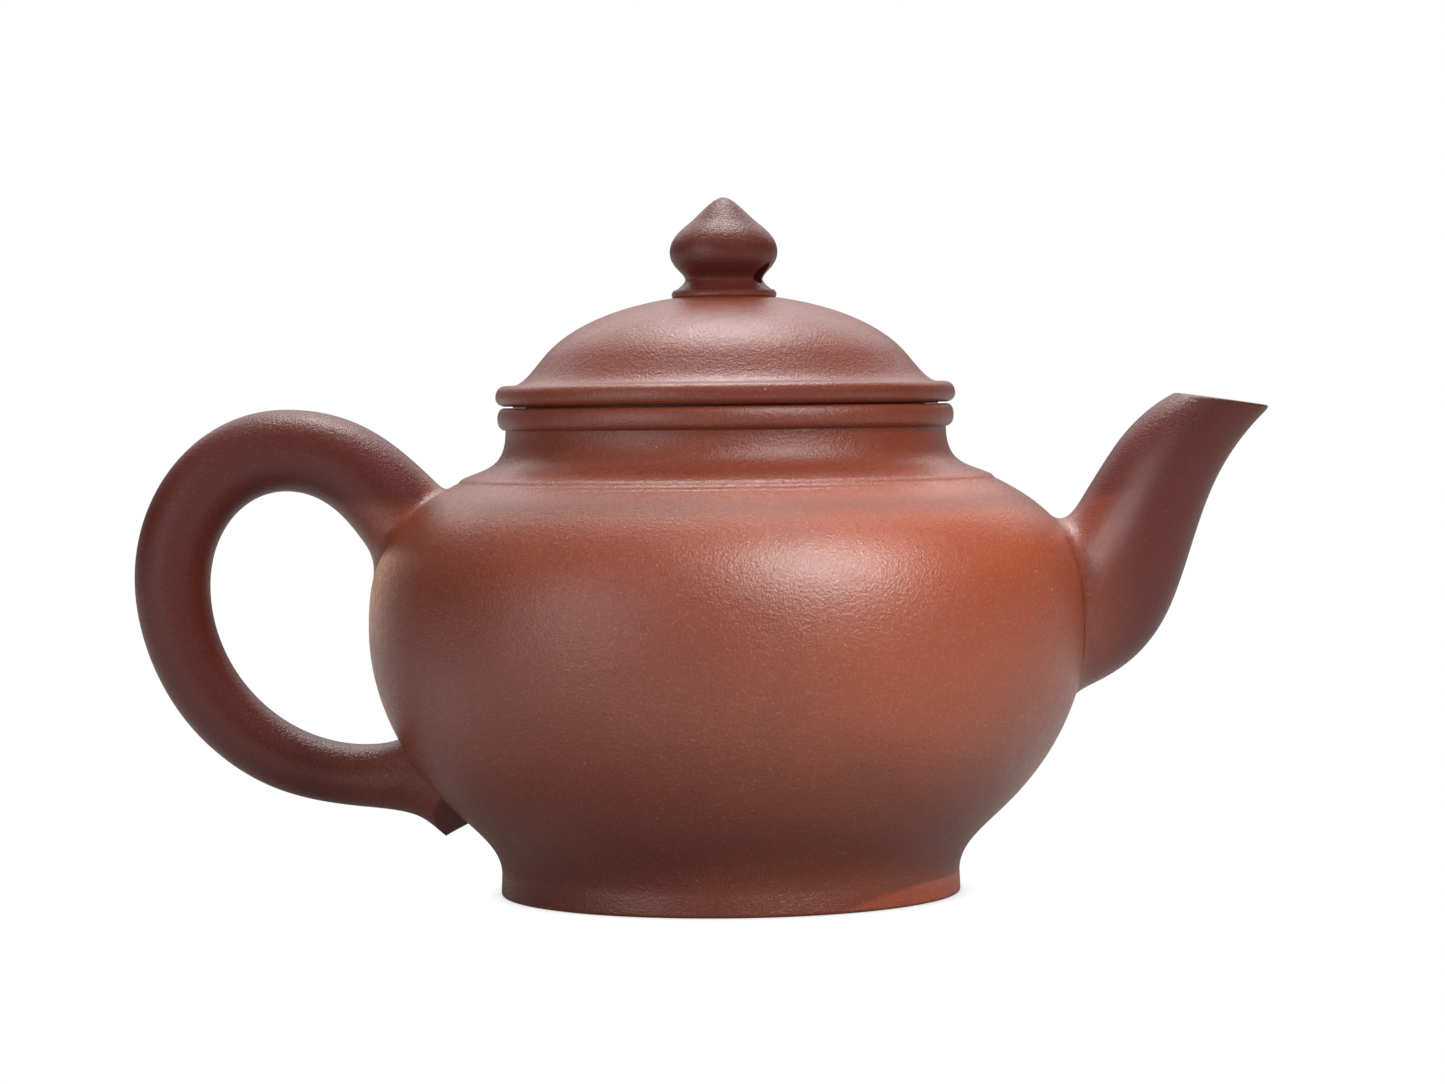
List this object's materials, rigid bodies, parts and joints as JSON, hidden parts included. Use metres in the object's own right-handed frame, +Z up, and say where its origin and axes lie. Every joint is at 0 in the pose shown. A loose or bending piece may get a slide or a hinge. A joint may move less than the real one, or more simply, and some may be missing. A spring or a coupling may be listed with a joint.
{
  "type": "clay teapot",
  "caption": "Round unglazed clay teapot with a domed lift-off lid, a ring mouth, a short upright spout and an ear-shaped handle.",
  "frame": {"origin": "centre of the flat underside of the foot, on the pot's axis", "axes": "+Z up along the pot's axis of turning, +X towards the spout, the handle is on -X"},
  "size_m": [0.1587, 0.1, 0.0972],
  "materials": {
    "burnished_clay": "satin",
    "raw_clay": "matte"
  },
  "bodies": {
    "pot": {"foot_disc": "burnished_clay", "base_disc": "raw_clay", "belly_wall": "burnished_clay", "shoulder_disc": "burnished_clay", "neck_collar": "burnished_clay", "mouth_ring": "burnished_clay", "spout": "burnished_clay", "spout_strainer": "raw_clay", "handle": "burnished_clay"},
    "lid_guide": {"lid_collar": "raw_clay"},
    "lid": {"lid_plate": "raw_clay", "lid_rim": "burnished_clay", "lid_dome": "burnished_clay", "knob_seat": "burnished_clay", "knob": "burnished_clay"}
  },
  "joints": [
    {"name": "lid_lift", "type": "slide", "parent": "pot", "child": "lid_guide", "axis": [0, 0, 1], "range_m": [0, 0.04]},
    {"name": "lid_turn", "type": "hinge", "parent": "lid_guide", "child": "lid", "pos_m": [0, 0, 0.068], "axis": [0, 0, 1], "continuous": true}
  ]
}
